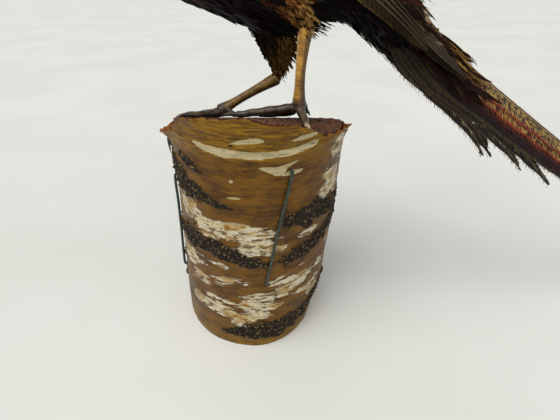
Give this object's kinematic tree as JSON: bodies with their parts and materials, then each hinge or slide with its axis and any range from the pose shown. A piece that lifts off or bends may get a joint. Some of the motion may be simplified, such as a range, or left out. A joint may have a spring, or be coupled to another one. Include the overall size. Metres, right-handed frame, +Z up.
{
  "type": "mounted pheasant on a birch log",
  "caption": "Life-size mounted cock pheasant with a long tail, standing on an upright length of birch log with a sloping top.",
  "frame": {"origin": "on the log's flat underside, straight below the middle of its sloping top", "axes": "+Z up the log, -Y the way the bird faces, +Y along its tail, +X its left side"},
  "size_m": [0.1785, 0.6881, 0.6313],
  "materials": {
    "head_plumage": "glossy dark green head feathers",
    "neck_plumage": "glossy blue-green neck feathers",
    "body_plumage": "copper and gold body feathers edged with black",
    "rump_plumage": "soft grey-green and chestnut rump feathers",
    "thigh_plumage": "golden brown thigh feathers",
    "wing_plumage": "buff and brown wing feathers",
    "tail_plumage": "buff tail feathers barred with black, chestnut fringes",
    "wattle_skin": "bare red pimpled skin",
    "bill_horn": "pale smooth horn",
    "eye_glass": "polished glass eye, orange-brown iris",
    "leg_scale": "dry ochre leg scales",
    "toe_scale": "dry grey-brown toe scales",
    "claw_horn": "dark smooth horn",
    "cut_wood": "rough red-brown sawn end grain",
    "birch_bark": "peeling golden brown and cream birch bark with corky bands",
    "green_wire": "dark green coated wire"
  },
  "bodies": {
    "root": {"head": "head_plumage", "neck": "neck_plumage", "trunk": "body_plumage", "rump": "rump_plumage", "ear_tuft_left": "head_plumage", "ear_tuft_right": "head_plumage", "bill_upper": "bill_horn", "bill_lower": "bill_horn", "eye_left": "eye_glass", "eye_right": "eye_glass", "wattle_left": "wattle_skin", "wattle_right": "wattle_skin", "wing_coverts_left": "wing_plumage", "wing_coverts_right": "wing_plumage", "wing_flight_left": "wing_plumage", "wing_flight_right": "wing_plumage", "log_wood": "cut_wood", "log_bark": "birch_bark", "wire_front": "green_wire", "wire_side": "green_wire", "tail_feather_left_1": "tail_plumage", "tail_feather_left_2": "tail_plumage", "tail_feather_left_3": "tail_plumage", "tail_feather_left_4": "tail_plumage", "tail_feather_left_5": "tail_plumage", "thigh_left": "thigh_plumage", "tarsus_left": "leg_scale", "toe_middle_left": "toe_scale", "claw_middle_left": "claw_horn", "toe_inner_left": "toe_scale", "claw_inner_left": "claw_horn", "toe_outer_left": "toe_scale", "claw_outer_left": "claw_horn", "toe_hind_left": "toe_scale", "claw_hind_left": "claw_horn", "tail_feather_right_1": "tail_plumage", "tail_feather_right_2": "tail_plumage", "tail_feather_right_3": "tail_plumage", "tail_feather_right_4": "tail_plumage", "tail_feather_right_5": "tail_plumage", "thigh_right": "thigh_plumage", "tarsus_right": "leg_scale", "toe_middle_right": "toe_scale", "claw_middle_right": "claw_horn", "toe_inner_right": "toe_scale", "claw_inner_right": "claw_horn", "toe_outer_right": "toe_scale", "claw_outer_right": "claw_horn", "toe_hind_right": "toe_scale", "claw_hind_right": "claw_horn"}
  },
  "joints": []
}
